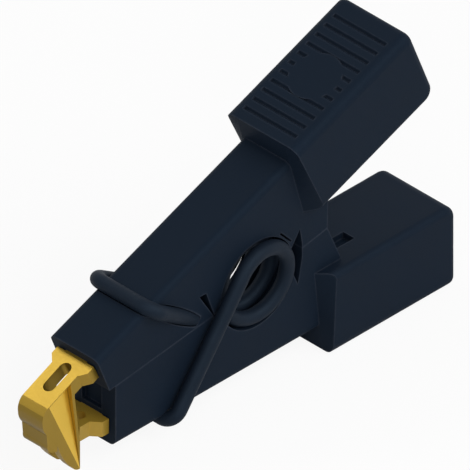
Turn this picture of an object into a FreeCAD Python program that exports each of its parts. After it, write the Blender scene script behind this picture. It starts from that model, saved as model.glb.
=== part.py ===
import FreeCAD, Part
import math
import os

from FreeCAD import Vector

# Micro test clip: two mirrored levers on a wire torsion spring, with a gilt jaw in each nose.
# Working frame: the coil's axis is the Y axis, +X runs to the tail, +Z is up, lengths are millimetres.
# Each lever is drawn as the lower one, and the upper one is that shape mirrored and turned open.

# Lever sizes, measured from the coil's axis
open_angle = 21.4
lever_depth = 5.38
lever_width = 3.66
lower_nose_reach = 10.84
nose_overhang = 0.21
tail_reach = 14.34
lower_nose_depth = 4.0
lever_edge_radius = 0.45

# Boss behind the coil, on whose rear corner the levers rock
fulcrum_reach = 5.46
boss_slope = 1.05
knuckle_radius = 0.85
knuckle_inner = 0.2
knuckle_outer = 0.95
knuckle_clearance = 0.06

# Finger pad on the tail of each lever
pad_front = 4.91
pad_width = 5.42
pad_height = 5.27
pad_proud = 1.40
pad_lean = 0.55
pad_shoulder = 0.30
pad_outer_radius = 0.6
pad_inner_radius = 0.4
pad_end_radius = 0.75

# Pocket in each pad's inner face
pocket_end = 8.23
pocket_inner = 0.15
pocket_outer = 1.0
pocket_depth = 0.4

# Grip grooves and the bare disc among them
groove_count = 11
groove_pitch = 0.733
groove_depth = 0.16
groove_width = 0.28
groove_length = 4.0
groove_first = 0.78
disc_diameter = 3.14
disc_from_front = 4.44

# Spring
wire_diameter = 0.88
coil_diameter = 5.4
window_clearance = 0.08
coil_extra_turns = 3
hook_from_nose = 3.90
hook_sink = 0.276
wire_gap = 0.06
hook_bend_radius = 0.85
hook_end_length = 4.8
hook_end_turn = 4.0
hook_end_inset = 0.9
hook_pocket_clearance = 0.06
spring_joint_gap = 0.05

# Gilt jaws
jaw_thickness = 0.95
jaw_wide = 2.76
jaw_narrow = 1.90
lower_jaw_narrow = 1.70
jaw_wide_length = 0.50
jaw_taper_length = 0.45
jaw_depth = 0.71
jaw_toe_in = 3.5
lower_jaw_toe_in = 1.0
jaw_shoulder_gap = 0.07
shank_width = 1.60
shank_length = 4.0
slot_width = 0.76
slot_start = 0.53
upper_slot_length = 2.05
lower_slot_length = 0.80
lower_plate_length = 1.72
tongue_width = 0.76
claw_wall = 0.52
front_wall = 0.86
bite_gap = 0.03
facet_sink = 0.36
facet_front = 3.3
facet_rear = 1.5
facet_drop = 0.06
facet_overcut = 0.5
upper_plate_length = 3.42
beak_top_start = 1.25
jaw_overlap = 0.1

# Recess in the nose above each jaw
recess_width = 1.5
recess_length = 0.3
recess_ledge = 0.3

# Relief slots through both levers, beside the window
front_relief_gap = 0.38
front_relief_lean = 1.0
front_relief_bottom = 0.75
front_relief_top = 1.3
front_relief_width = 0.5
rear_relief_gap = 0.64
rear_relief_bottom = 1.6
rear_relief_top = 2.0
slit_gap = 0.16
slit_width = 0.12
slit_low_angle = 30
slit_high_angle = 54
cut_margin = 1.0

# Inner contact parts
strip_thickness = 0.25
strip_width = 1.0
socket_diameter = 1.5
socket_bore = 0.9
socket_length = 5.0
socket_bore_depth = 4.5

# Worked out from the sizes above
wire_radius = wire_diameter / 2
coil_radius = (coil_diameter - wire_diameter) / 2
window_radius = coil_diameter / 2 + window_clearance
side_offset = lever_width / 2 + wire_gap + wire_radius
upper_nose_reach = lower_nose_reach + nose_overhang
hook_depth = lever_depth + wire_radius - hook_sink
hook_reach = lower_nose_reach - hook_from_nose
pad_outer = lever_depth + pad_proud
pad_inner = pad_outer - pad_height
pad_middle = (pad_front + tail_reach) / 2
pad_centre_depth = pad_outer - pad_height / 2
rest_offset = Vector(-pad_middle, 0, pad_outer)
seam_drop = lever_depth - lower_nose_depth
axis_y = Vector(0, 1, 0)
coil_axis = Vector(0, 0, 0)
seam_tilt = math.radians(open_angle / 2)
fulcrum = (fulcrum_reach * math.cos(seam_tilt), fulcrum_reach * math.sin(seam_tilt))


def flat(points, y):
    """A face in the plane at y, through points given as (x, z)."""
    corners = [Vector(x, y, z) for x, z in points]
    return Part.Face(Part.makePolygon(corners + corners[:1]))


def prism(points, width):
    """The outline (x, z) as a solid centred on the XZ plane."""
    return flat(points, -width / 2).extrude(Vector(0, width, 0))


def block(x0, x1, width, z0, z1):
    """A box centred on the XZ plane."""
    return Part.makeBox(x1 - x0, width, z1 - z0, Vector(x0, -width / 2, z0))


def cross_bar(radius, width):
    """A cylinder on the coil's axis."""
    return Part.makeCylinder(radius, width, Vector(0, -width / 2, 0), axis_y)


def to_upper(shape):
    """Mirrors a shape drawn for the lower lever and turns it open about the coil's axis."""
    upper = shape.mirror(coil_axis, Vector(0, 0, 1))
    upper.rotate(coil_axis, axis_y, -open_angle)
    return upper


def fuse(shapes):
    """One solid from shapes that touch or overlap."""
    whole = shapes[0].multiFuse(shapes[1:]).removeSplitter()
    return whole.Solids[0] if len(whole.Solids) == 1 else whole


def edges_along_x(solid, y, z, spread=0.02):
    """Straight edges that run along X at the given |y| and z."""
    found = []
    for edge in solid.Edges:
        a, b = edge.Vertexes[0].Point, edge.Vertexes[-1].Point
        level = abs(abs(a.y) - y) < spread and abs(abs(b.y) - y) < spread
        if level and abs(a.z - z) < spread and abs(b.z - z) < spread and abs(a.x - b.x) > 1:
            found.append(edge)
    return found


def edges_at_tail(solid, z=None):
    """Edges in the tail's end face, or only those of them at the height z."""
    found = []
    for edge in solid.Edges:
        points = [vertex.Point for vertex in edge.Vertexes]
        at_end = all(abs(point.x - tail_reach) < 0.01 for point in points)
        if at_end and (z is None or all(abs(point.z - z) < 0.01 for point in points)):
            found.append(edge)
    return found


def lever_bar(nose_reach, nose_inner):
    """The narrow bar of a lever, from the nose to the tail, before its openings."""
    outline = [
        (-nose_reach, -lever_depth),
        (-nose_reach, nose_inner),
        (0, 0),
        fulcrum,
        (fulcrum[0] + boss_slope, -pad_inner),
        (tail_reach - pad_end_radius * 2, -pad_inner),
        (tail_reach - pad_end_radius * 2, -lever_depth),
    ]
    bar = prism(outline, lever_width)
    outer_edges = edges_along_x(bar, lever_width / 2, -lever_depth)
    return bar.makeFillet(lever_edge_radius, outer_edges)


def finger_pad():
    """The block at the tail: square at its outer face, with shoulders drawn back beside the bar."""
    half_bar = lever_width / 2
    half_pad = pad_width / 2
    outer = [
        (pad_front, -half_pad),
        (pad_front, -half_bar),
        (pad_front, half_bar),
        (pad_front, half_pad),
        (tail_reach, half_pad),
        (tail_reach, -half_pad),
    ]
    inner = [
        (pad_front + pad_shoulder, -half_pad),
        (pad_front - pad_lean, -half_bar),
        (pad_front - pad_lean, half_bar),
        (pad_front + pad_shoulder, half_pad),
        (tail_reach, half_pad),
        (tail_reach, -half_pad),
    ]
    wires = []
    for ring, z in ((outer, -pad_outer), (inner, -pad_inner)):
        corners = [Vector(x, y, z) for x, y in ring]
        wires.append(Part.makePolygon(corners + corners[:1]))
    pad = Part.makeLoft(wires, True, True)
    pad = pad.makeFillet(pad_outer_radius, edges_along_x(pad, half_pad, -pad_outer))
    pad = pad.makeFillet(pad_end_radius, edges_at_tail(pad, -pad_inner))
    return pad.makeFillet(pad_inner_radius, edges_at_tail(pad))


def grip_grooves():
    """V grooves across the pad's outer face, which stop at a bare disc."""
    grooves = []
    half = groove_width / 2
    for i in range(groove_count):
        x = pad_front + groove_first + i * groove_pitch
        floor = (x, -pad_outer + groove_depth)
        left = (x - half, -pad_outer)
        right = (x + half, -pad_outer)
        above = -pad_outer - cut_margin
        outline = [floor, left, (left[0], above), (right[0], above), right]
        grooves.append(prism(outline, groove_length))
    centre = Vector(pad_front + disc_from_front, 0, -pad_outer - cut_margin)
    disc = Part.makeCylinder(disc_diameter / 2, 2 * cut_margin, centre)
    return Part.makeCompound([groove.cut(disc) for groove in grooves])


def inner_pocket():
    """The pocket in the pad's inner face, on one side of the middle."""
    size = (pocket_end - fulcrum[0], pocket_outer - pocket_inner, pad_height)
    return Part.makeBox(*size, Vector(fulcrum[0], -pocket_outer, -pad_inner - pocket_depth))


def knuckle(clearance=0.0):
    """A short round boss about the fulcrum, on the side away from the pocket."""
    length = knuckle_outer - knuckle_inner + 2 * clearance
    start = Vector(fulcrum[0], knuckle_inner - clearance, fulcrum[1])
    return Part.makeCylinder(knuckle_radius + clearance, length, start, axis_y)


def relief_slots():
    """The slots through both levers beside the window, drawn in the rest pose."""
    front_x = -window_radius - front_relief_gap
    top_x = front_x - front_relief_lean
    front = [
        (front_x, -front_relief_bottom),
        (top_x + front_relief_width / 2, front_relief_top),
        (top_x - front_relief_width / 2, front_relief_top),
    ]
    rear_x = window_radius + rear_relief_gap
    rear = [
        (rear_x - rear_relief_gap, -rear_relief_bottom / 2),
        (rear_x - rear_relief_gap / 2, -rear_relief_bottom),
        (rear_x, 0),
        (rear_x, rear_relief_top / 2),
        (rear_x - rear_relief_gap / 4, rear_relief_top),
        (rear_x - rear_relief_gap * 1.3, rear_relief_top / 2),
    ]
    slit = []
    for gap, degrees in (
        (slit_gap, slit_high_angle),
        (slit_gap + slit_width, slit_high_angle),
        (slit_gap + slit_width, slit_low_angle),
        (slit_gap, slit_low_angle),
    ):
        angle = math.radians(degrees)
        reach = window_radius + gap
        slit.append((reach * math.cos(angle), reach * math.sin(angle)))
    width = lever_width + 2 * cut_margin
    return Part.makeCompound([prism(outline, width) for outline in (front, rear, slit)])


def leg_end_angle():
    """Angle on the coil where the lower leg leaves it, tangent towards its hook."""
    distance = math.hypot(hook_reach, hook_depth)
    hook_angle = math.atan2(-hook_depth, -hook_reach) + 2 * math.pi
    return hook_angle - math.acos(coil_radius / distance)


def leg_path():
    """Corners of the lower leg and hook, from the coil's near end."""
    angle = leg_end_angle()
    run = Vector(-math.sin(angle), 0, math.cos(angle))
    start = Vector(coil_radius * math.cos(angle), -side_offset, coil_radius * math.sin(angle))
    start = start + run * spring_joint_gap
    down = Vector(-hook_reach, -side_offset, -hook_depth)
    across = Vector(-hook_reach, side_offset, -hook_depth)
    end_angle = angle + math.radians(hook_end_turn)
    end_run = Vector(-math.sin(end_angle), 0, math.cos(end_angle))
    tip = across - end_run * hook_end_length
    tip.y = tip.y - hook_end_inset
    return [start, down, across, tip]


def rounded_tube(corners, bend_radius, radius):
    """A round tube along straight runs joined by tangent arcs."""
    edges = []
    at = corners[0]
    for before, corner, after in zip(corners, corners[1:], corners[2:]):
        come = (corner - before).normalize()
        leave = (after - corner).normalize()
        half_turn = come.getAngle(leave) / 2
        setback = bend_radius * math.tan(half_turn)
        arc_start = corner - come * setback
        arc_end = corner + leave * setback
        to_centre = (leave - come).normalize()
        middle = corner + to_centre * (bend_radius / math.cos(half_turn) - bend_radius)
        edges.append(Part.LineSegment(at, arc_start).toShape())
        edges.append(Part.Arc(arc_start, middle, arc_end).toShape())
        at = arc_end
    edges.append(Part.LineSegment(at, corners[-1]).toShape())
    path = Part.Wire(edges)
    ring = Part.Wire(Part.makeCircle(radius, corners[0], corners[1] - corners[0]))
    return path.makePipeShell([ring], True, False)


def spring_leg(radius=wire_radius, extra=0.0):
    """The lower leg, its hook under the lever and the end that tucks into the far side."""
    corners = leg_path()
    if extra:
        last = (corners[3] - corners[2]).normalize()
        corners[3] = corners[3] + last * extra
    return rounded_tube(corners, hook_bend_radius, radius)


def spring_coil():
    """The helix between the two legs, wound over the top from the lower leg to the upper one."""
    lower = leg_end_angle()
    upper = math.radians(open_angle) - lower
    turns = (lower - upper) / (2 * math.pi) + coil_extra_turns
    pitch = 2 * side_offset / turns
    helix = Part.makeHelix(pitch, pitch * turns, coil_radius, 0)
    ring = Part.Wire(Part.makeCircle(wire_radius, Vector(coil_radius, 0, 0), Vector(0, coil_radius, pitch / 6.2832)))
    coil = Part.Wire(helix.Edges).makePipeShell([ring], True, True)
    coil.rotate(coil_axis, Vector(1, 0, 0), -90)
    coil.rotate(coil_axis, axis_y, -math.degrees(lower))
    coil.translate(Vector(0, -side_offset, 0))
    return coil


def inner_strip(nose_reach):
    """The strip that joins the jaw's shank to the socket, under the window."""
    x0 = shank_length - nose_reach
    z0 = -lever_depth + jaw_depth
    return block(x0, tail_reach - socket_length, strip_width, z0, z0 + strip_thickness)


def pin_socket():
    """The sleeve in the tail that takes a lead's pin, closed at its inner end."""
    z = -pad_centre_depth
    start = Vector(tail_reach - socket_length, 0, z)
    along = Vector(1, 0, 0)
    sleeve = Part.makeCylinder(socket_diameter / 2, socket_length, start, along)
    mouth = Vector(tail_reach - socket_bore_depth, 0, z)
    bore = Part.makeCylinder(socket_bore / 2, socket_bore_depth + cut_margin, mouth, along)
    return sleeve.cut(bore)


def socket_pocket():
    """The hole that the sleeve fills."""
    start = Vector(tail_reach - socket_length, 0, -pad_centre_depth)
    return Part.makeCylinder(socket_diameter / 2, socket_length + cut_margin, start, Vector(1, 0, 0))


def plate(nose_reach, toe_in, outline):
    """A jaw's flat plate from its outline (forward, half width), toed in from the lever's nose."""
    ring = [Vector(-x, y, 0) for x, y in outline] + [Vector(-x, -y, 0) for x, y in reversed(outline)]
    solid = Part.Face(Part.makePolygon(ring + ring[:1])).extrude(Vector(0, 0, jaw_thickness))
    solid.rotate(coil_axis, axis_y, toe_in)
    solid.translate(Vector(-nose_reach - jaw_shoulder_gap, 0, -lever_depth + jaw_depth))
    return solid


def plate_slot(nose_reach, toe_in, length):
    """The round-ended slot along a jaw's plate."""
    radius = slot_width / 2
    back = -slot_start - radius
    front = -slot_start - length + radius
    low = -cut_margin
    tall = jaw_thickness + 2 * cut_margin
    ends = [Part.makeCylinder(radius, tall, Vector(x, 0, low)) for x in (back, front)]
    middle = Part.makeBox(back - front, slot_width, tall, Vector(front, -radius, low))
    slot = ends[0].fuse(ends[1]).fuse(middle)
    slot.rotate(coil_axis, axis_y, toe_in)
    slot.translate(Vector(-nose_reach - jaw_shoulder_gap, 0, -lever_depth + jaw_depth))
    return slot


def shank(nose_reach):
    """The jaw's root inside the nose, on the floor of the mouth."""
    z0 = -lever_depth + jaw_depth
    front = -nose_reach - jaw_shoulder_gap - jaw_overlap
    return block(front, shank_length - nose_reach, shank_width, z0, z0 + jaw_thickness)


def plate_sides(end, last_half):
    """Half outline of a plate: wide shoulder, taper, then the narrow part to its end."""
    taper_end = jaw_wide_length + jaw_taper_length
    half_wide = jaw_wide / 2
    return [(0, half_wide), (jaw_wide_length, half_wide), (taper_end, last_half), (end, last_half)]


def lower_jaw():
    """The straight jaw: a slotted plate with a tongue that closes on the beak's front wall."""
    bite_x = beak_front_inner() + bite_gap
    reach = (-bite_x - lower_nose_reach - jaw_shoulder_gap) / math.cos(math.radians(lower_jaw_toe_in))
    sides = plate_sides(lower_plate_length, lower_jaw_narrow / 2)
    body = plate(lower_nose_reach, lower_jaw_toe_in, sides)
    half_tongue = tongue_width / 2
    tongue_sides = [(lower_plate_length - jaw_overlap, half_tongue), (reach, half_tongue)]
    tongue = plate(lower_nose_reach, lower_jaw_toe_in, tongue_sides)
    jaw = fuse([body, tongue, shank(lower_nose_reach)])
    return jaw.cut(plate_slot(lower_nose_reach, lower_jaw_toe_in, lower_slot_length))


# The beak in the rest pose, as (x, z) from the upper nose's outer corner
beak_brow = (-2.97, -2.156)
beak_bulge = (-3.20, -2.47)
beak_front = (-3.27, -3.06)
beak_lip = (-3.19, -3.48)
beak_throat = (-2.97, -3.85)
beak_chin_top = (-2.90, -4.60)
beak_chin = (-2.80, -5.02)
beak_chin_end = (-2.56, -5.20)
beak_notch_low = (-2.19, -5.33)
beak_notch_high = (-2.13, -4.98)
beak_curve = (-1.56, -6.28)
beak_hook = (-0.95, -7.05)
beak_tip = (-0.68, -7.27)
beak_point = (-0.42, -7.32)
beak_heel = (-0.42, -5.60)
beak_root = (-0.84, -2.33)


def beak_place(pair, y=0.0):
    """A point of the beak in the rest pose."""
    nose = Part.Vertex(Vector(-upper_nose_reach, 0, -lever_depth))
    corner = to_upper(nose).Point
    return Vector(corner.x + pair[0], y, corner.z + pair[1])


def beak_front_inner():
    """Where the inside of the beak's front wall stands, along X."""
    return beak_place(beak_chin_top).x + front_wall


def beak_block():
    """The beak before its hollow, from its brow down the front to the point and back up."""
    half = -jaw_narrow / 2
    top_x, top_z = upper_plate_point(beak_top_start, jaw_thickness / 2)
    top = Vector(top_x, half, top_z)

    def line(a, b):
        return Part.LineSegment(beak_place(a, half), beak_place(b, half)).toShape()

    def arc(a, b, c):
        return Part.Arc(beak_place(a, half), beak_place(b, half), beak_place(c, half)).toShape()

    edges = [
        arc(beak_brow, beak_bulge, beak_front),
        arc(beak_front, beak_lip, beak_throat),
        line(beak_throat, beak_chin_top),
        arc(beak_chin_top, beak_chin, beak_chin_end),
        line(beak_chin_end, beak_notch_low),
        line(beak_notch_low, beak_notch_high),
        arc(beak_notch_high, beak_curve, beak_hook),
        arc(beak_hook, beak_tip, beak_point),
        line(beak_point, beak_heel),
        line(beak_heel, beak_root),
        Part.LineSegment(beak_place(beak_root, half), top).toShape(),
        Part.LineSegment(top, beak_place(beak_brow, half)).toShape(),
    ]
    return Part.Face(Part.Wire(edges)).extrude(Vector(0, jaw_narrow, 0))


def upper_plate_point(forward, depth):
    """A point of the upper plate in the rest pose, forward of the nose and down into its thickness."""
    spot = Part.Vertex(Vector(-forward, 0, depth))
    spot.rotate(coil_axis, axis_y, jaw_toe_in)
    spot.translate(Vector(-upper_nose_reach - jaw_shoulder_gap, 0, -lever_depth + jaw_depth))
    spot = to_upper(spot)
    return spot.Point.x, spot.Point.z


def claw_hollow():
    """The space between the claws, behind the front wall and under the plate."""
    front = beak_front_inner()
    slope = math.tan(math.radians(open_angle + jaw_toe_in))
    near = upper_plate_point(0, jaw_thickness)
    below = beak_place(beak_point).z - cut_margin
    outline = [(front, near[1] + slope * (front - near[0])), near, (near[0], below), (front, below)]
    return prism(outline, jaw_narrow - 2 * claw_wall)


def facet_cut(side):
    """The hollow-ground facet on one cheek of the beak, deepest at its upper rear corner."""
    half = jaw_narrow / 2 * side
    sunk = (jaw_narrow / 2 - facet_sink) * side
    clear = (jaw_narrow / 2 + facet_overcut) * side
    front_x, front_z = upper_plate_point(facet_front, facet_drop)
    rear_x, rear_z = upper_plate_point(facet_rear, facet_drop)
    low = beak_place(beak_point)
    inner = [Vector(front_x, half, front_z), Vector(rear_x, sunk, rear_z), Vector(low.x, half, low.z)]
    outer = [Vector(point.x, clear, point.z) for point in inner]
    faces = [Part.Face(Part.makePolygon(ring + ring[:1])) for ring in (inner, outer)]
    for i in range(3):
        j = (i + 1) % 3
        ring = [inner[i], inner[j], outer[j], outer[i]]
        faces.append(Part.Face(Part.makePolygon(ring + ring[:1])))
    return Part.makeSolid(Part.makeShell(faces))


def upper_jaw():
    """The hooked jaw: a slotted plate, a front wall and a claw down each side to a point."""
    sides = plate_sides(upper_plate_length, jaw_narrow / 2)
    top = to_upper(plate(upper_nose_reach, jaw_toe_in, sides))
    root = to_upper(shank(upper_nose_reach))
    jaw = fuse([beak_block(), top, root])
    jaw = jaw.cut(claw_hollow())
    jaw = jaw.cut(to_upper(plate_slot(upper_nose_reach, jaw_toe_in, upper_slot_length)))
    for side in (-1, 1):
        jaw = jaw.cut(facet_cut(side))
    return jaw


def nose_recess(nose_reach):
    """The shallow recess in the nose's end, above the jaw's root."""
    floor = -lever_depth + jaw_depth + jaw_thickness + recess_ledge
    return block(-nose_reach - cut_margin, recess_length - nose_reach, recess_width, floor, cut_margin)


def far_side(shape):
    """The shape mirrored to the other side of the XZ plane."""
    return shape.mirror(coil_axis, axis_y)


def lever(nose_reach, nose_inner):
    """A lever with its pad, grooves, window, knuckle and the pockets of what it holds."""
    body = fuse([lever_bar(nose_reach, nose_inner), finger_pad()])
    body = body.cut(inner_pocket())
    body = body.cut(far_side(knuckle(knuckle_clearance)))
    body = fuse([body, knuckle()])
    body = body.cut(cross_bar(window_radius, pad_width + 2 * cut_margin))
    body = body.cut(grip_grooves())
    body = body.cut(nose_recess(nose_reach))
    body = body.cut(shank(nose_reach))
    body = body.cut(inner_strip(nose_reach))
    body = body.cut(socket_pocket())
    return body.cut(spring_leg(wire_radius + hook_pocket_clearance, hook_pocket_clearance))


def seam_for_upper():
    """Inner edge of the upper nose, so that its seam lies on the lower lever's seam."""
    seam_angle = math.atan2(seam_drop, lower_nose_reach)
    return -upper_nose_reach * math.tan(math.radians(open_angle) - seam_angle)


def single(shape):
    """The shape as its one solid."""
    if len(shape.Solids) != 1:
        raise ValueError(f"expected one solid, found {len(shape.Solids)}")
    return shape.Solids[0]


def build():
    """Every node of the clip in the working frame."""
    relief = relief_slots()
    leg = spring_leg()
    lower = lever(lower_nose_reach, -seam_drop).cut(relief)
    upper = to_upper(far_side(lever(upper_nose_reach, seam_for_upper()))).cut(relief)
    return {
        "lower_lever": lower,
        "upper_lever": upper,
        "spring_coil": spring_coil(),
        "spring_lower_leg": leg,
        "spring_upper_leg": to_upper(far_side(leg)),
        "lower_jaw": lower_jaw(),
        "upper_jaw": upper_jaw(),
        "lower_contact_strip": inner_strip(lower_nose_reach),
        "upper_contact_strip": to_upper(inner_strip(upper_nose_reach)),
        "lower_pin_socket": pin_socket(),
        "upper_pin_socket": to_upper(pin_socket()),
    }


os.makedirs("parts", exist_ok=True)
for name, shape in build().items():
    solid = single(shape)
    solid.translate(rest_offset)
    solid.exportStep(os.path.join("parts", name + ".step"))
    box = solid.BoundBox
    low = (round(box.XMin, 2), round(box.YMin, 2), round(box.ZMin, 2))
    high = (round(box.XMax, 2), round(box.YMax, 2), round(box.ZMax, 2))
    print(name, solid.isValid(), round(solid.Volume, 3), low, high)
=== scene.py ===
import math

import bpy
from bpy.props import FloatProperty, FloatVectorProperty, IntProperty, PointerProperty
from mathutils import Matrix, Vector


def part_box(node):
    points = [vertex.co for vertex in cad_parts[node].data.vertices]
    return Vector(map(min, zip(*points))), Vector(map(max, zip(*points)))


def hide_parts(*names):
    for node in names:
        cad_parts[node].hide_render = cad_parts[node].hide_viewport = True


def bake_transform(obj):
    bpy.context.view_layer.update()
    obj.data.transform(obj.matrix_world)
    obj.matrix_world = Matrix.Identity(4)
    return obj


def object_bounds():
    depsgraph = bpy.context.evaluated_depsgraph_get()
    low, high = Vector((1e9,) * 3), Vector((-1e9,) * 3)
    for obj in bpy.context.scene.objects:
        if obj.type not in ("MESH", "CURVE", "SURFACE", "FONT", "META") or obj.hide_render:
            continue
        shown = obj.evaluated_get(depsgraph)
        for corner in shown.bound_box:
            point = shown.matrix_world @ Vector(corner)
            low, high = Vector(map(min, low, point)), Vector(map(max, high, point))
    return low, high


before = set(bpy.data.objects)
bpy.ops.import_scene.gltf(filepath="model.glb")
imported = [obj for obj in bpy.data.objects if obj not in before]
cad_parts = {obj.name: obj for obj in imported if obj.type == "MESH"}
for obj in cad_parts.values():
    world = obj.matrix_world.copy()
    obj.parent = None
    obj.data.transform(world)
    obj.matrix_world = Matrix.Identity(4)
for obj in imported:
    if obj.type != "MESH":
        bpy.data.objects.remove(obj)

bl_info = {
    "name": "Micro test clip",
    "version": (1, 0, 0),
    "blender": (4, 5, 0),
    "location": "View3D > Sidebar > Test clip",
    "description": "Dresses a small sprung test clip: moulded levers, wire spring and gilt jaws",
    "category": "Object",
}

# All lengths are in metres
WIRE = 0.00088

# Places that come from the solids
CAD_BOX = [list(corner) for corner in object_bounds()]
LEG_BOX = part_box("spring_lower_leg")
COIL_LOW, COIL_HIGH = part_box("spring_coil")
COIL_AXIS = Vector(((COIL_LOW[0] + COIL_HIGH[0]) / 2, 0, (COIL_LOW[2] + COIL_HIGH[2]) / 2))
COIL_WIDTH = COIL_HIGH[2] - COIL_LOW[2]
SIDE = -LEG_BOX[0][1] - WIRE / 2
HOOK = Vector((LEG_BOX[0][0] + WIRE / 2, 0, LEG_BOX[0][2] + WIRE / 2))

# The coil: the angle between the closed levers, its whole turns, and how far each end laps into its leg
LEVER_ANGLE = math.radians(21.4)
WHOLE_TURNS = 3
END_LAP = 0.00009
WIRE_SIDES = 28
WELD = 0.000001
SMOOTH_ANGLE = math.radians(50)

# Patches of painted light on the hooked jaw, seen along Y: a painted highlight on the claws' facets and
# painted shade on the front wall. Three corners of each are measured from the jaw's low corner
PATCH_EDGES = ("Front edge", "Rear edge", "Top edge")
FACET_CORNERS = (
    Vector((0.00051, 0, 0.00519)),
    Vector((0.00284, 0, 0)),
    Vector((0.00212, 0, 0.00595)),
)
FACET_INNER = 0.00045
FACET_OUTER = 0.002
WALL_CORNERS = (
    Vector((-0.003, 0, 0.0048)),
    Vector((0.0012, 0, -0.0015)),
    Vector((0.0012, 0, 0.0048)),
)
WALL_INNER = -1.0
WALL_OUTER = 0.000945

# A cool cast in the gloss of the moulding and of the wire
COOL_TINT = (0.55, 0.78, 1, 1)

# The stage
FLOOR_SIZE = 0.6
FLOOR_GAP = 0.00001
CAMERA_AIM = Vector((0.00012, 0, 0.00225))
CAMERA_DISTANCE = 0.2

HOUSING_NODES = ("lower_lever", "upper_lever")
LOWER_JAW = ("lower_jaw",)
UPPER_JAW = ("upper_jaw",)
WIRE_NODES = ("spring_lower_leg", "spring_upper_leg")
CONTACT_NODES = (
    "lower_contact_strip",
    "upper_contact_strip",
    "lower_pin_socket",
    "upper_pin_socket",
)


class HousingFinish(bpy.types.PropertyGroup):
    """The moulded levers."""

    colour: FloatVectorProperty(
        name="Moulding", description="Colour of the plastic", subtype="COLOR", size=3,
        min=0, max=1, default=(0.0058, 0.0105, 0.0195),
    )
    # Lighter edge colour: partly rubbed wear, partly a painted highlight along the rounded edges
    worn_and_highlight_colour: FloatVectorProperty(
        name="Rubbed edge and painted highlight", description="Colour where fingers rub the edges, also a painted edge highlight", subtype="COLOR", size=3,
        min=0, max=1, default=(0.034, 0.041, 0.057),
    )
    roughness: FloatProperty(
        name="Roughness", description="Mean roughness of the moulding", subtype="FACTOR",
        min=0, max=1, default=0.58,
    )
    grain: FloatProperty(
        name="Spark grain", description="Size of the mould's spark-eroded grain", subtype="DISTANCE",
        unit="LENGTH", default=0.00009,
    )


class WireFinish(bpy.types.PropertyGroup):
    """The spring wire."""

    colour: FloatVectorProperty(
        name="Coating", description="Colour of the black-coated wire", subtype="COLOR", size=3,
        min=0, max=1, default=(0.0068, 0.0108, 0.0185),
    )
    roughness: FloatProperty(
        name="Roughness", description="Mean roughness of the coating", subtype="FACTOR",
        min=0, max=1, default=0.56,
    )
    coil_width: FloatProperty(
        name="Coil width", description="Outside diameter of the coil", subtype="DISTANCE",
        unit="LENGTH", default=COIL_WIDTH,
    )
    steps_per_turn: IntProperty(
        name="Steps", description="Segments in each turn of the coil", default=72, min=12,
    )


class GiltFinish(bpy.types.PropertyGroup):
    """The plated jaws."""

    colour: FloatVectorProperty(
        name="Gold", description="Colour of the plating", subtype="COLOR", size=3,
        min=0, max=1, default=(0.378, 0.244, 0.030),
    )
    deep_colour: FloatVectorProperty(
        name="Deep gold", description="Colour where the plating is thicker", subtype="COLOR", size=3,
        min=0, max=1, default=(0.313, 0.200, 0.024),
    )
    roughness: FloatProperty(
        name="Roughness", description="Mean roughness of the plating", subtype="FACTOR",
        min=0, max=1, default=0.33,
    )
    # Painted highlight: the claws' facets get a brighter copy of the gold, standing in for the light
    # falling on them
    facet_painted_highlight_gain: FloatProperty(
        name="Painted facet highlight", description="How much brighter the claws' sides are painted, as a highlight",
        default=2.3, min=0,
    )
    # Painted shade: the front wall keeps only part of the gold's colour, standing in for the shade on
    # its front-facing side
    wall_painted_shade_gain: FloatProperty(
        name="Front wall painted shade", description="How much of the tone the front wall keeps",
        default=0.62, min=0,
    )
    # Painted light: the straight jaw's colour is raised to lift the shade that falls on it under the
    # hooked jaw
    lower_jaw_painted_light_gain: FloatProperty(
        name="Lower jaw painted light", description="How much brighter the straight jaw is painted, lifting its shade",
        default=1.15, min=0,
    )
    grind: FloatProperty(
        name="Tool marks", description="Spacing of the stamping's drawn marks", subtype="DISTANCE",
        unit="LENGTH", default=0.00005,
    )


class StageSettings(bpy.types.PropertyGroup):
    """Floor, light and camera."""

    floor_colour: FloatVectorProperty(
        name="Floor", description="Colour of the plain floor", subtype="COLOR", size=3,
        min=0, max=1, default=(0.9, 0.9, 0.9),
    )
    frame_width: FloatProperty(
        name="Frame width", description="Width of the view at the clip", subtype="DISTANCE",
        unit="LENGTH", default=0.025405,
    )
    azimuth: FloatProperty(
        name="Azimuth", description="Direction of the camera round the clip", subtype="ANGLE",
        unit="ROTATION", default=math.radians(-45),
    )
    elevation: FloatProperty(
        name="Elevation", description="Height of the camera above the floor's plane", subtype="ANGLE",
        unit="ROTATION", default=math.asin(1 / math.sqrt(3)),
    )


# Shader node groups


def new_group(name, inputs, outputs):
    """A shader node group with its sockets, and its input and output nodes."""
    group = bpy.data.node_groups.new(name, "ShaderNodeTree")
    for label, kind, value in inputs:
        socket = group.interface.new_socket(label, in_out="INPUT", socket_type=kind)
        if value is not None:
            socket.default_value = value
    for label, kind in outputs:
        group.interface.new_socket(label, in_out="OUTPUT", socket_type=kind)
    start = group.nodes.new("NodeGroupInput")
    end = group.nodes.new("NodeGroupOutput")
    return group, start, end


def math_node(tree, operation, a, b=None, clamp=False):
    """A Math node; a and b are sockets or numbers."""
    node = tree.nodes.new("ShaderNodeMath")
    node.operation = operation
    node.use_clamp = clamp
    for socket, value in zip(node.inputs, (a, b)):
        if isinstance(value, bpy.types.NodeSocket):
            tree.links.new(value, socket)
        elif value is not None:
            socket.default_value = value
    return node.outputs[0]


def noise_node(tree, vector, scale, detail, roughness):
    """A Noise Texture's value."""
    node = tree.nodes.new("ShaderNodeTexNoise")
    node.inputs["Detail"].default_value = detail
    node.inputs["Roughness"].default_value = roughness
    tree.links.new(vector, node.inputs["Vector"])
    if isinstance(scale, bpy.types.NodeSocket):
        tree.links.new(scale, node.inputs["Scale"])
    else:
        node.inputs["Scale"].default_value = scale
    return node.outputs["Fac"]


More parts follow.
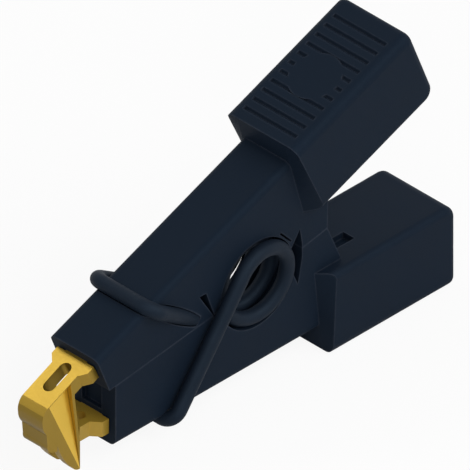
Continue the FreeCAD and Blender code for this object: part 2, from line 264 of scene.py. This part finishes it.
def edge_wear_and_highlight_group():
    """A mask that is 1 on rubbed edges, broken up by noise. It marks wear, and on the moulding also a
    painted edge highlight.
    """
    inputs = [
        ("Vector", "NodeSocketVector", None),
        ("Width", "NodeSocketFloat", 0.0002),
        ("Amount", "NodeSocketFloat", 1.0),
        ("Break-up", "NodeSocketFloat", 3000.0),
    ]
    group, start, end = new_group("Edge wear and highlight", inputs, [("Mask", "NodeSocketFloat")])
    bevel = group.nodes.new("ShaderNodeBevel")
    bevel.samples = 6
    contrast = 6.0
    group.links.new(start.outputs["Width"], bevel.inputs["Radius"])
    surface = group.nodes.new("ShaderNodeNewGeometry")
    dot = group.nodes.new("ShaderNodeVectorMath")
    dot.operation = "DOT_PRODUCT"
    group.links.new(bevel.outputs["Normal"], dot.inputs[0])
    group.links.new(surface.outputs["True Normal"], dot.inputs[1])
    away = math_node(group, "SUBTRACT", 1.0, dot.outputs["Value"])
    strong = math_node(group, "MULTIPLY", away, contrast, clamp=True)
    patches = noise_node(
        group, start.outputs["Vector"], start.outputs["Break-up"], detail=4.0, roughness=0.6,
    )
    broken = math_node(group, "MULTIPLY", strong, patches)
    mask = math_node(group, "MULTIPLY", broken, start.outputs["Amount"], clamp=True)
    group.links.new(mask, end.inputs["Mask"])
    return group


def grain_group():
    """Fine grain height and a slow mottle for roughness and colour."""
    inputs = [
        ("Vector", "NodeSocketVector", None),
        ("Fine scale", "NodeSocketFloat", 9000.0),
        ("Slow scale", "NodeSocketFloat", 350.0),
    ]
    outputs = [("Height", "NodeSocketFloat"), ("Mottle", "NodeSocketFloat")]
    group, start, end = new_group("Surface grain", inputs, outputs)
    vector = start.outputs["Vector"]
    fine = noise_node(group, vector, start.outputs["Fine scale"], detail=3.0, roughness=0.55)
    slow = noise_node(group, vector, start.outputs["Slow scale"], detail=4.0, roughness=0.5)
    group.links.new(fine, end.inputs["Height"])
    group.links.new(slow, end.inputs["Mottle"])
    return group


def drawn_marks_group():
    """Long fine marks along X, as on drawn wire or stamped strip."""
    inputs = [
        ("Vector", "NodeSocketVector", None),
        ("Along", "NodeSocketFloat", 600.0),
        ("Across", "NodeSocketFloat", 16000.0),
    ]
    group, start, end = new_group("Drawn marks", inputs, [("Height", "NodeSocketFloat")])
    combine = group.nodes.new("ShaderNodeCombineXYZ")
    group.links.new(start.outputs["Along"], combine.inputs["X"])
    group.links.new(start.outputs["Across"], combine.inputs["Y"])
    group.links.new(start.outputs["Across"], combine.inputs["Z"])
    scale = group.nodes.new("ShaderNodeVectorMath")
    scale.operation = "MULTIPLY"
    group.links.new(start.outputs["Vector"], scale.inputs[0])
    group.links.new(combine.outputs["Vector"], scale.inputs[1])
    marks = noise_node(group, scale.outputs["Vector"], 1.0, detail=2.0, roughness=0.5)
    group.links.new(marks, end.inputs["Height"])
    return group


def patch_group():
    """A mask that is 1 inside three lines seen along Y, between two distances from the middle."""
    inputs = [
        ("Vector", "NodeSocketVector", None),
        ("Inner", "NodeSocketFloat", 0.0),
        ("Outer", "NodeSocketFloat", 1.0),
    ]
    for edge in PATCH_EDGES:
        inputs.append((edge, "NodeSocketVector", (1.0, 0.0, 0.0)))
        inputs.append((edge + " offset", "NodeSocketFloat", 0.0))
    group, start, end = new_group("Bounded patch", inputs, [("Mask", "NodeSocketFloat")])
    split = group.nodes.new("ShaderNodeSeparateXYZ")
    group.links.new(start.outputs["Vector"], split.inputs["Vector"])
    off_middle = math_node(group, "ABSOLUTE", split.outputs["Y"])
    outside = math_node(group, "GREATER_THAN", off_middle, start.outputs["Inner"])
    within = math_node(group, "LESS_THAN", off_middle, start.outputs["Outer"])
    mask = math_node(group, "MULTIPLY", outside, within)
    for edge in PATCH_EDGES:
        dot = group.nodes.new("ShaderNodeVectorMath")
        dot.operation = "DOT_PRODUCT"
        group.links.new(start.outputs["Vector"], dot.inputs[0])
        group.links.new(start.outputs[edge], dot.inputs[1])
        inside = math_node(group, "GREATER_THAN", dot.outputs["Value"], start.outputs[edge + " offset"])
        mask = math_node(group, "MULTIPLY", mask, inside)
    group.links.new(mask, end.inputs["Mask"])
    return group


def shared_group(name, maker):
    """The group of that name, made once."""
    return bpy.data.node_groups.get(name) or maker()


def place_group(tree, group, vector, values):
    """Places a group in a material with its own values."""
    node = tree.nodes.new("ShaderNodeGroup")
    node.node_tree = group
    tree.links.new(vector, node.inputs["Vector"])
    for label, value in values.items():
        node.inputs[label].default_value = value
    return node


# Materials


def new_material(name):
    """A material, its Principled shader and its Object coordinates."""
    material = bpy.data.materials.new(name)
    material.use_nodes = True
    tree = material.node_tree
    shader = next(node for node in tree.nodes if node.type == "BSDF_PRINCIPLED")
    coordinates = tree.nodes.new("ShaderNodeTexCoord").outputs["Object"]
    return material, tree, shader, coordinates


def mix_colours(tree, factor, low, high):
    """A colour between two others."""
    node = tree.nodes.new("ShaderNodeMix")
    node.data_type = "RGBA"
    tree.links.new(factor, node.inputs["Factor"])
    for socket, value in ((node.inputs["A"], low), (node.inputs["B"], high)):
        if isinstance(value, bpy.types.NodeSocket):
            tree.links.new(value, socket)
        else:
            socket.default_value = (*value, 1)
    return node.outputs["Result"]


def spread_value(tree, factor, low, high):
    """Maps a 0 to 1 value to a range."""
    node = tree.nodes.new("ShaderNodeMapRange")
    node.inputs["To Min"].default_value = low
    node.inputs["To Max"].default_value = high
    tree.links.new(factor, node.inputs["Value"])
    return node.outputs["Result"]


def shades(colour, low, high):
    """A darker and a lighter shade of a colour."""
    return [channel * low for channel in colour], [channel * high for channel in colour]


def spread_roughness(tree, factor, mean, swing):
    """Roughness that varies about its mean."""
    return spread_value(tree, factor, mean - swing, mean + swing)


def relief(tree, height, strength, distance):
    """A Bump node's normal."""
    node = tree.nodes.new("ShaderNodeBump")
    node.inputs["Strength"].default_value = strength
    node.inputs["Distance"].default_value = distance
    tree.links.new(height, node.inputs["Height"])
    return node.outputs["Normal"]


def housing_material(finish):
    """Navy-black moulded plastic with a fine grain, rubbed a little on its edges, whose lighter colour
    there is partly a painted highlight.
    """
    material, tree, shader, coordinates = new_material("Moulded navy plastic")
    grain = place_group(
        tree, shared_group("Surface grain", grain_group), coordinates,
        {"Fine scale": 1 / finish.grain, "Slow scale": 420.0},
    )
    # The edges are lightened with the rubbed colour, partly wear and partly a painted highlight
    wear_and_highlight = place_group(
        tree, shared_group("Edge wear and highlight", edge_wear_and_highlight_group), coordinates,
        {"Width": 0.00016, "Amount": 1.2, "Break-up": 2600.0},
    )
    darker, lighter = shades(finish.colour, low=0.86, high=1.14)
    base = mix_colours(tree, grain.outputs["Mottle"], darker, lighter)
    worn_and_highlit = mix_colours(tree, wear_and_highlight.outputs["Mask"], base, finish.worn_and_highlight_colour)
    tree.links.new(worn_and_highlit, shader.inputs["Base Color"])
    rough = spread_roughness(tree, grain.outputs["Mottle"], finish.roughness, swing=0.08)
    tree.links.new(rough, shader.inputs["Roughness"])
    bumps = relief(tree, grain.outputs["Height"], strength=0.25, distance=0.00002)
    tree.links.new(bumps, shader.inputs["Normal"])
    shader.inputs["Specular IOR Level"].default_value = 0.08
    shader.inputs["Specular Tint"].default_value = COOL_TINT
    return material


def wire_material(finish):
    """Black-coated spring wire with faint drawn marks."""
    material, tree, shader, coordinates = new_material("Coated spring wire")
    grain = place_group(
        tree, shared_group("Surface grain", grain_group), coordinates,
        {"Fine scale": 14000.0, "Slow scale": 700.0},
    )
    marks = place_group(
        tree, shared_group("Drawn marks", drawn_marks_group), coordinates,
        {"Along": 900.0, "Across": 14000.0},
    )
    darker, lighter = shades(finish.colour, low=0.8, high=1.25)
    base = mix_colours(tree, grain.outputs["Mottle"], darker, lighter)
    tree.links.new(base, shader.inputs["Base Color"])
    rough = spread_roughness(tree, marks.outputs["Height"], finish.roughness, swing=0.1)
    tree.links.new(rough, shader.inputs["Roughness"])
    bumps = relief(tree, grain.outputs["Height"], strength=0.15, distance=0.00001)
    tree.links.new(bumps, shader.inputs["Normal"])
    shader.inputs["Specular IOR Level"].default_value = 0.14
    shader.inputs["Specular Tint"].default_value = COOL_TINT
    return material


def patch_values(low, corners, inner, outer):
    """The values that bound a patch, from its corners above the piece's low corner."""
    values = {"Inner": inner, "Outer": outer}
    places = [low + corner for corner in corners]
    for edge, start, end in zip(PATCH_EDGES, places, places[1:] + places[:1]):
        line = Vector((start.z - end.z, 0, end.x - start.x)).normalized()
        values[edge] = line
        values[edge + " offset"] = start.dot(line)
    return values


def gilt_material(finish, name, tone=1.0, metallic=0.8, patches=()):
    """Satin gold plating over stamped strip; each patch is a gain and the values that bound it. Tone
    scales the whole colour, and on the straight jaw that raise is painted light; the patches paint
    light and shade.
    """
    material, tree, shader, coordinates = new_material(name)
    grain = place_group(
        tree, shared_group("Surface grain", grain_group), coordinates,
        {"Fine scale": 12000.0, "Slow scale": 900.0},
    )
    marks = place_group(
        tree, shared_group("Drawn marks", drawn_marks_group), coordinates,
        {"Along": 1500.0, "Across": 1 / finish.grind},
    )
    wear_and_highlight = place_group(
        tree, shared_group("Edge wear and highlight", edge_wear_and_highlight_group), coordinates,
        {"Width": 0.00008, "Amount": 0.8, "Break-up": 5000.0},
    )
    rub = 1.15
    deep = [channel * tone for channel in finish.deep_colour]
    bright = [channel * tone for channel in finish.colour]
    pale = [min(1.0, channel * rub) for channel in bright]
    base = mix_colours(tree, grain.outputs["Mottle"], deep, bright)
    rubbed_with_painted_light = mix_colours(tree, wear_and_highlight.outputs["Mask"], base, pale)
    # Each patch paints light into the colour: the gold scaled by its gain over its area, a painted
    # highlight above 1 and painted shade below 1
    for gain, values in patches:
        patch = place_group(tree, shared_group("Bounded patch", patch_group), coordinates, values)
        painted_light_colour = [channel * gain for channel in bright]
        rubbed_with_painted_light = mix_colours(tree, patch.outputs["Mask"], rubbed_with_painted_light, painted_light_colour)
    tree.links.new(rubbed_with_painted_light, shader.inputs["Base Color"])
    rough = spread_roughness(tree, marks.outputs["Height"], finish.roughness, swing=0.1)
    tree.links.new(rough, shader.inputs["Roughness"])
    scratches = relief(tree, marks.outputs["Height"], strength=0.2, distance=0.00001)
    tree.links.new(scratches, shader.inputs["Normal"])
    shader.inputs["Metallic"].default_value = metallic
    return material


def dress(names, material):
    """Gives CAD nodes a material."""
    for name in names:
        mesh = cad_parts[name].data
        mesh.materials.clear()
        mesh.materials.append(material)


# Modelling helpers


def select_only(piece):
    """Selects one object, in object mode."""
    bpy.ops.object.select_all(action="DESELECT")
    piece.select_set(True)
    bpy.context.view_layer.objects.active = piece


def settle(piece):
    """Moves an object's place and turn into its mesh."""
    select_only(piece)
    bpy.ops.object.transform_apply(location=True, rotation=True, scale=True)


class CLIP_OT_levers(bpy.types.Operator):
    """Gives both levers their moulded finish"""

    bl_idname = "clip.levers"
    bl_label = "Dress the levers"

    def execute(self, context):
        dress(HOUSING_NODES, housing_material(context.scene.clip_housing))
        return {"FINISHED"}


class CLIP_OT_jaws(bpy.types.Operator):
    """Gives the jaws their gold plating, with painted highlights and painted shade in its colour"""

    bl_idname = "clip.jaws"
    bl_label = "Dress the jaws"

    def execute(self, context):
        finish = context.scene.clip_gilt
        # The straight jaw's colour is raised by its gain as painted light, lifting the shade under the
        # hooked jaw
        straight = gilt_material(finish, "Gilt straight jaw", tone=finish.lower_jaw_painted_light_gain, metallic=0.4)
        dress(LOWER_JAW, straight)
        points = [vertex.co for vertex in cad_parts[UPPER_JAW[0]].data.vertices]
        low = Vector((min(point.x for point in points), 0, min(point.z for point in points)))
        facets = patch_values(low, FACET_CORNERS, FACET_INNER, FACET_OUTER)
        wall = patch_values(low, WALL_CORNERS, WALL_INNER, WALL_OUTER)
        patches = ((finish.wall_painted_shade_gain, wall), (finish.facet_painted_highlight_gain, facets))
        dress(UPPER_JAW, gilt_material(finish, "Gilt hooked jaw", patches=patches))
        return {"FINISHED"}


class CLIP_OT_contacts(bpy.types.Operator):
    """Gives the inner strips and the sockets a duller plating"""

    bl_idname = "clip.contacts"
    bl_label = "Dress the contacts"

    def execute(self, context):
        dress(CONTACT_NODES, gilt_material(context.scene.clip_gilt, "Plated contact", tone=0.85))
        return {"FINISHED"}


class CLIP_OT_spring(bpy.types.Operator):
    """Winds the coil between the two spring legs"""

    bl_idname = "clip.spring"
    bl_label = "Wind the spring"

    def execute(self, context):
        finish = context.scene.clip_wire
        material = wire_material(finish)
        dress(WIRE_NODES, material)
        coil = self.wind(finish)
        coil.data.materials.append(material)
        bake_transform(coil)
        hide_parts("spring_coil")
        return {"FINISHED"}

    def wind(self, finish):
        """A wire section swept round the coil's axis by a Screw modifier."""
        radius = (finish.coil_width - WIRE) / 2
        reach = HOOK - COIL_AXIS
        lower_end = math.atan2(reach.z, reach.x) + math.tau - math.acos(radius / reach.length)
        between = 2 * lower_end - LEVER_ANGLE + WHOLE_TURNS * math.tau
        rise = 2 * SIDE / between
        lap = END_LAP / radius
        start = lower_end + lap
        turn = between + 2 * lap
        half_width = SIDE + rise * lap
        place = Vector((radius * math.cos(start), -half_width, radius * math.sin(start)))
        heading = Vector((radius * math.sin(start), rise, -radius * math.cos(start)))
        bpy.ops.object.select_all(action="DESELECT")
        bpy.ops.mesh.primitive_circle_add(
            vertices=WIRE_SIDES, radius=WIRE / 2, fill_type="NOTHING", location=place,
            rotation=heading.to_track_quat("Z", "Y").to_euler(),
        )
        coil = bpy.context.object
        coil.name = "spring_coil_wire"
        settle(coil)
        screw = coil.modifiers.new("Coil", "SCREW")
        screw.axis = "Y"
        screw.angle = turn
        screw.screw_offset = 2 * half_width
        steps = round(finish.steps_per_turn * turn / math.tau)
        screw.steps = steps
        screw.render_steps = steps
        bpy.ops.object.modifier_apply(modifier=screw.name)
        bpy.ops.object.mode_set(mode="EDIT")
        bpy.ops.mesh.select_all(action="SELECT")
        bpy.ops.mesh.remove_doubles(threshold=WELD)
        bpy.ops.mesh.select_all(action="SELECT")
        bpy.ops.mesh.fill_holes(sides=0)
        bpy.ops.mesh.select_all(action="SELECT")
        bpy.ops.mesh.normals_make_consistent(inside=False)
        bpy.ops.object.mode_set(mode="OBJECT")
        coil.location = COIL_AXIS
        settle(coil)
        bpy.ops.object.shade_smooth_by_angle(angle=SMOOTH_ANGLE)
        return coil


class CLIP_OT_stage(bpy.types.Operator):
    """Lays the floor and sets the lights and the camera"""

    bl_idname = "clip.stage"
    bl_label = "Set the stage"

    def execute(self, context):
        settings = context.scene.clip_stage
        self.lay_floor(settings)
        self.light_world(context.scene)
        self.hang_lamps()
        self.place_camera(context.scene, settings)
        context.scene.view_settings.view_transform = "Standard"
        return {"FINISHED"}

    def lay_floor(self, settings):
        """A plain floor just under the lower pad."""
        bpy.ops.object.select_all(action="DESELECT")
        level = CAD_BOX[0][2] - FLOOR_GAP
        bpy.ops.mesh.primitive_plane_add(size=FLOOR_SIZE, location=(0, 0, level))
        floor = bpy.context.object
        floor.name = "floor"
        settle(floor)
        material, tree, shader, coordinates = new_material("Plain floor")
        shader.inputs["Base Color"].default_value = (*settings.floor_colour, 1)
        shader.inputs["Roughness"].default_value = 0.9
        glow = tree.nodes.new("ShaderNodeEmission")
        path = tree.nodes.new("ShaderNodeLightPath")
        mixer = tree.nodes.new("ShaderNodeMixShader")
        glow_share = 0.9
        seen = math_node(tree, "MULTIPLY", path.outputs["Is Camera Ray"], glow_share)
        tree.links.new(seen, mixer.inputs["Fac"])
        tree.links.new(shader.outputs["BSDF"], mixer.inputs[1])
        tree.links.new(glow.outputs["Emission"], mixer.inputs[2])
        output = next(node for node in tree.nodes if node.type == "OUTPUT_MATERIAL")
        tree.links.new(mixer.outputs["Shader"], output.inputs["Surface"])
        floor.data.materials.append(material)

    def light_world(self, scene):
        """White where the camera, gloss or glass sees it, and a soft grey light elsewhere."""
        world = bpy.data.worlds.new("Studio")
        scene.world = world
        world.use_nodes = True
        tree = world.node_tree
        background = next(node for node in tree.nodes if node.type == "BACKGROUND")
        background.inputs["Color"].default_value = (1, 1, 1, 1)
        path = tree.nodes.new("ShaderNodeLightPath")
        seen = path.outputs["Is Camera Ray"]
        for kind in ("Is Glossy Ray", "Is Transmission Ray"):
            seen = math_node(tree, "MAXIMUM", seen, path.outputs[kind])
        strength = spread_value(tree, seen, low=0.36, high=1.0)
        tree.links.new(strength, background.inputs["Strength"])

    def hang_lamps(self):
        """A broad key lamp at the right, a fill by the camera, and a small lamp behind for the gold."""
        self.hang_lamp("key", place=(0.15, -0.45, 0.45), size=0.42, power=2.2)
        self.hang_lamp("fill", place=(-0.35, -0.35, 0.35), size=0.3, power=1.0)
        self.hang_lamp("glint", place=(-0.05, 0.30, 0.42), size=0.13, power=0.22)

    def hang_lamp(self, name, place, size, power):
        """An area lamp aimed at the coil."""
        lamp = bpy.data.lights.new(name, "AREA")
        lamp.size = size
        lamp.energy = power
        thing = bpy.data.objects.new(name, lamp)
        thing.location = place
        aim = COIL_AXIS - Vector(place)
        thing.rotation_euler = aim.to_track_quat("-Z", "Y").to_euler()
        bpy.context.scene.collection.objects.link(thing)

    def place_camera(self, scene, settings):
        """A parallel view along the cube's diagonal."""
        lens = bpy.data.cameras.new("camera")
        lens.type = "ORTHO"
        lens.ortho_scale = settings.frame_width
        lens.clip_start = 0.001
        lens.clip_end = 2
        camera = bpy.data.objects.new("camera", lens)
        scene.collection.objects.link(camera)
        scene.camera = camera
        level = math.cos(settings.elevation)
        back = Vector((
            math.sin(settings.azimuth) * level,
            -math.cos(settings.azimuth) * level,
            math.sin(settings.elevation),
        ))
        camera.location = COIL_AXIS + CAMERA_AIM + back * CAMERA_DISTANCE
        camera.rotation_euler = (-back).to_track_quat("-Z", "Y").to_euler()


class CLIP_PT_panel(bpy.types.Panel):
    """Lists the clip's pieces and the stage."""

    bl_idname = "CLIP_PT_panel"
    bl_label = "Test clip"
    bl_space_type = "VIEW_3D"
    bl_region_type = "UI"
    bl_category = "Test clip"

    def draw(self, context):
        for operator in OPERATORS:
            self.layout.operator(operator.bl_idname)


SETTINGS = {
    "clip_housing": HousingFinish,
    "clip_wire": WireFinish,
    "clip_gilt": GiltFinish,
    "clip_stage": StageSettings,
}
OPERATORS = (CLIP_OT_levers, CLIP_OT_jaws, CLIP_OT_contacts, CLIP_OT_spring, CLIP_OT_stage)


def register():
    for name, group in SETTINGS.items():
        bpy.utils.register_class(group)
        setattr(bpy.types.Scene, name, PointerProperty(type=group))
    for operator in OPERATORS:
        bpy.utils.register_class(operator)
    bpy.utils.register_class(CLIP_PT_panel)


def unregister():
    bpy.utils.unregister_class(CLIP_PT_panel)
    for operator in reversed(OPERATORS):
        bpy.utils.unregister_class(operator)
    for name, group in reversed(SETTINGS.items()):
        delattr(bpy.types.Scene, name)
        bpy.utils.unregister_class(group)


def main():
    """Builds the whole scene in order."""
    register()
    bpy.ops.clip.levers()
    bpy.ops.clip.jaws()
    bpy.ops.clip.contacts()
    bpy.ops.clip.spring()
    bpy.ops.clip.stage()


if __name__ == "__main__":
    main()
